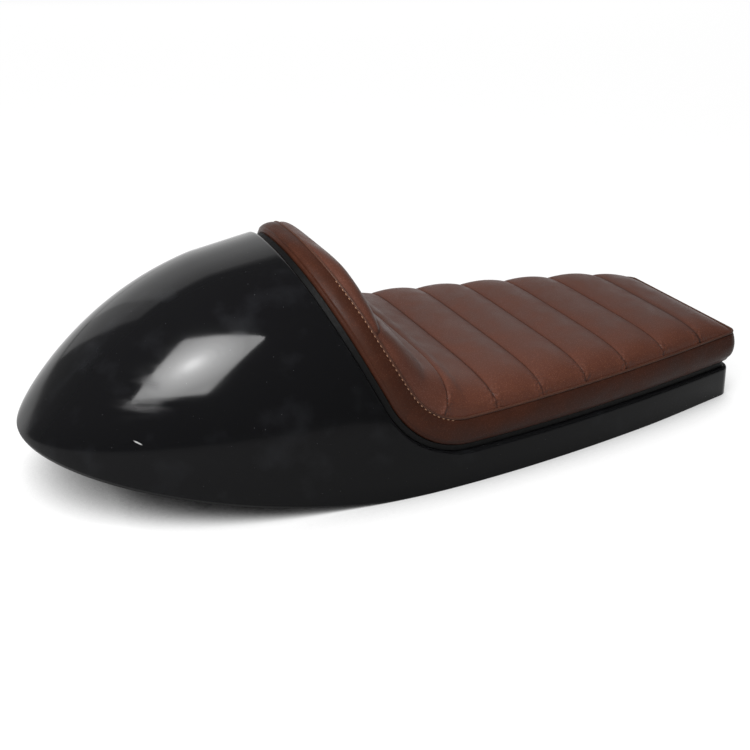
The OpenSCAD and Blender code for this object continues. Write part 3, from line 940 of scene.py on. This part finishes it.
def floor_material():
    """Pale floor: lit and shadowed by the lamps, and white to the camera and in reflections; the white
    glow carries a painted contact shadow where ambient occlusion finds the seat close by.
    """
    material = bpy.data.materials.new("floor")
    material.use_nodes = True
    tree = material.node_tree
    tree.nodes.clear()
    out = tree.nodes.new("ShaderNodeOutputMaterial")
    matt = tree.nodes.new("ShaderNodeBsdfDiffuse")
    matt.inputs["Color"].default_value = (FLOOR_COLOUR, FLOOR_COLOUR, FLOOR_COLOUR, 1)
    glow = tree.nodes.new("ShaderNodeEmission")
    near = tree.nodes.new("ShaderNodeAmbientOcclusion")
    near.inputs["Distance"].default_value = SHADOW_REACH
    near.samples = SHADOW_SAMPLES
    # Painted shadow: the white glow darkens where ambient occlusion finds the seat close by.
    shade = ramp(tree, near.outputs["AO"], SHADOW_DARK, SHADOW_CLEAR, 0.0, 1.0)
    tree.links.new(shade, glow.inputs["Color"])
    path = tree.nodes.new("ShaderNodeLightPath")
    seen = math_node(tree, "MAXIMUM", path.outputs["Is Camera Ray"], path.outputs["Is Glossy Ray"])
    seen = math_node(tree, "MAXIMUM", seen, path.outputs["Is Transmission Ray"])
    tree.links.new(math_node(tree, "MULTIPLY", seen, FLOOR_GLOW), glow.inputs["Strength"])
    both = tree.nodes.new("ShaderNodeAddShader")
    tree.links.new(matt.outputs[0], both.inputs[0])
    tree.links.new(glow.outputs[0], both.inputs[1])
    tree.links.new(both.outputs[0], out.inputs["Surface"])
    return material


def floor():
    h = FLOOR_HALF
    piece = build("floor", [(-h, -h, 0), (h, -h, 0), (h, h, 0), (-h, h, 0)], [(0, 1, 2, 3)])
    dress(piece, floor_material())


def direction(azimuth, elevation):
    """Unit vector at an azimuth from +X towards +Y and an elevation, in radians."""
    flat = math.cos(elevation)
    return Vector((math.cos(azimuth) * flat, math.sin(azimuth) * flat, math.sin(elevation)))


def camera():
    data = bpy.data.cameras.new("camera")
    data.lens = CAMERA_LENS
    data.sensor_width = 36.0
    piece = bpy.data.objects.new("camera", data)
    bpy.context.scene.collection.objects.link(piece)
    back = direction(CAMERA_AZIMUTH - math.pi / 2, CAMERA_ELEVATION)
    piece.location = CAMERA_PLACE
    piece.rotation_mode = "QUATERNION"
    piece.rotation_quaternion = (-back).to_track_quat("-Z", "Y")
    bpy.context.scene.camera = piece


LAMP_AIM = (-0.18, -0.07, 0.12)


def softbox(name, azimuth, elevation, distance, width, height, radiance, shape="RECTANGLE"):
    """An area lamp that faces the hump; azimuth is in degrees from +X towards +Y."""
    data = bpy.data.lights.new(name, "AREA")
    data.shape = shape
    data.size = width
    data.size_y = height
    data.energy = radiance * math.pi * width * height
    piece = bpy.data.objects.new(name, data)
    piece.visible_camera = False
    bpy.context.scene.collection.objects.link(piece)
    away = direction(math.radians(azimuth), math.radians(elevation))
    piece.location = Vector(LAMP_AIM) + away * distance
    piece.rotation_mode = "QUATERNION"
    piece.rotation_quaternion = (-away).to_track_quat("-Z", "Y")
    return piece


SKY_LEVEL = 0.16
BACKDROP_TOP = 0.03
BACKDROP_FADE = 0.03


def world():
    """Dim light from all around, and a white backdrop, which reflections show only low down."""
    scene = bpy.context.scene
    scene.world = bpy.data.worlds.new("studio")
    scene.world.use_nodes = True
    tree = scene.world.node_tree
    background = tree.nodes["Background"]
    background.inputs["Color"].default_value = (1.0, 1.0, 1.0, 1)
    way = tree.nodes.new("ShaderNodeSeparateXYZ")
    tree.links.new(tree.nodes.new("ShaderNodeTexCoord").outputs["Generated"], way.inputs[0])
    low = ramp(tree, way.outputs["Z"], BACKDROP_TOP - BACKDROP_FADE, BACKDROP_TOP, 1.0, 0.0)
    path = tree.nodes.new("ShaderNodeLightPath")
    mirrored = math_node(tree, "MULTIPLY", path.outputs["Is Glossy Ray"], low)
    seen = math_node(tree, "MAXIMUM", path.outputs["Is Camera Ray"], path.outputs["Is Transmission Ray"])
    seen = math_node(tree, "MAXIMUM", seen, mirrored)
    tree.links.new(ramp(tree, seen, 0, 1, SKY_LEVEL, 1.0), background.inputs["Strength"])


KEY = {"azimuth": -139, "elevation": 54, "width": 0.86, "height": 0.79}
KEY_RADIANCE, KEY_DISTANCE = 9.6, 1.2
FACE_RADIANCE, FACE_DISTANCE = 24.0, 1.18
CORE_AZIMUTH, CORE_ELEVATION = -141, 55.5
CORE_DISTANCE, CORE_SPREAD = 1.02, 0.15
CORES = ((0.95, 5.0), (0.78, 5.0), (0.6, 6.0), (0.42, 9.0), (0.26, 13.0), (0.14, 20.0))
BACKDROP = {"azimuth": 72, "elevation": 22, "distance": 3.3,
            "width": 3.8, "height": 2.6, "radiance": 0.36}
BACKDROP_FACE = {"azimuth": 77, "elevation": 21, "distance": 3.2,
                 "width": 4.3, "height": 2.2, "radiance": 0.68}


def key_core(share, radiance):
    """An ellipse before the key lamp; the smaller it is, the nearer, so that none hides another."""
    return softbox("key_core", CORE_AZIMUTH, CORE_ELEVATION, CORE_DISTANCE + CORE_SPREAD * share,
                   KEY["width"] * share, KEY["height"] * share, radiance, shape="ELLIPSE")


def lamps(shell):
    """A large key lamp and a weak one behind, each with a share that only the shell reflects."""
    softbox("key", distance=KEY_DISTANCE, radiance=KEY_RADIANCE, **KEY)
    glare = [softbox("key_face", distance=FACE_DISTANCE, radiance=FACE_RADIANCE, **KEY)]
    glare += [key_core(share, radiance) for share, radiance in CORES]
    softbox("backdrop", **BACKDROP)
    glare.append(softbox("backdrop_face", **BACKDROP_FACE))
    polished = bpy.data.collections.new("polished")
    polished.objects.link(shell)
    for lamp in glare:
        lamp.visible_diffuse = False
        lamp.light_linking.receiver_collection = polished


# Assembly

def main():
    camera()
    world()
    floor()
    top_leather = leather("leather_top", **TOP_LEATHER)
    shaded_band_leather = leather("leather_band_shaded", **SHADED_BAND_LEATHER)
    black, pan, steel, tan = gloss_black(), pan_black(), zinc(), thread()
    shell = shell_piece()
    lamps(shell)
    dress(shell, black)
    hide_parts("cowl_shell")
    top = pad_top()
    dress(top, top_leather)
    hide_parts("cover_top", "foam_core")
    band = side_band()
    # The band gets the darker leather: painted shade on the upright sides.
    dress(band, shaded_band_leather)
    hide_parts("cover_band")
    stitches = seam_stitches()
    dress(stitches, tan)
    fold = seam_fold()
    dress(fold, leather("leather_fold", **FOLD_LEATHER))
    for piece in (shell, top, band, fold, stitches):
        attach(piece, "root")
    dress(frame["nodes"]["seat_pan"], pan)
    for name in ("pan_studs", "washers", "lock_nuts"):
        dress(frame["nodes"][name], steel)


bpy.context.scene.view_settings.view_transform = "Standard"
main()
